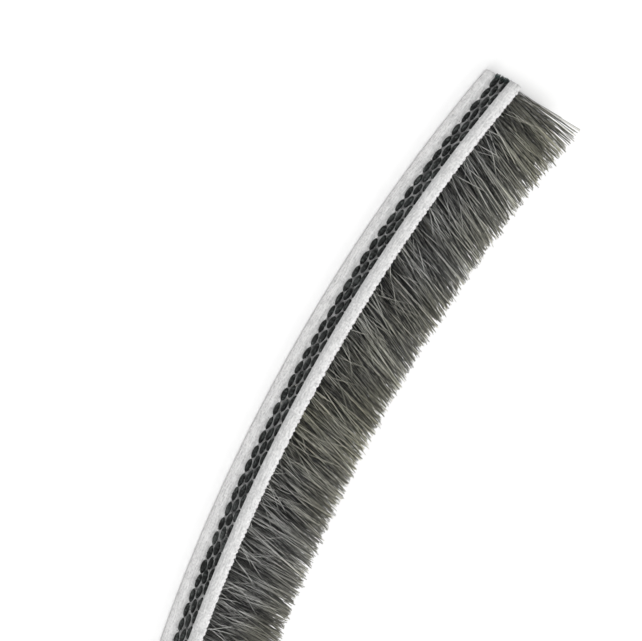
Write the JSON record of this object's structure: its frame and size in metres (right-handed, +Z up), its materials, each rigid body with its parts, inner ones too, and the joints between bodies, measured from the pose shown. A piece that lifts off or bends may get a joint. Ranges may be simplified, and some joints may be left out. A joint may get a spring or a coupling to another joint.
{
  "type": "brush seal strip",
  "caption": "Pile brush seal strip: a pale woven ribbon with stitched yarn rows on its back and a dense dark pile on its front, in its relaxed open curl.",
  "frame": {"origin": "centre of the open curl, on the floor that the ribbon's lower edge rests on", "axes": "+Z up, across the ribbon's width; the gap between the strip's two cut ends is centred on the direction halfway between +X and +Y; the pile points inwards to the Z axis"},
  "size_m": [0.33, 0.33, 0.0069],
  "materials": {
    "ribbon": "tight pale weave of plastic yarn under a thin clear back coat",
    "pile": "fine dark grey polypropylene fibres with a soft sheen",
    "stitch": "charcoal yarn stitches, glossy under the clear back coat"
  },
  "bodies": {
    "root": {"backing_ribbon": "ribbon", "pile_core": "pile", "tufts_upper_row": "pile", "tufts_lower_row": "pile", "stitches_upper_row": "stitch", "stitches_middle_row": "stitch", "stitches_lower_row": "stitch"}
  },
  "joints": []
}
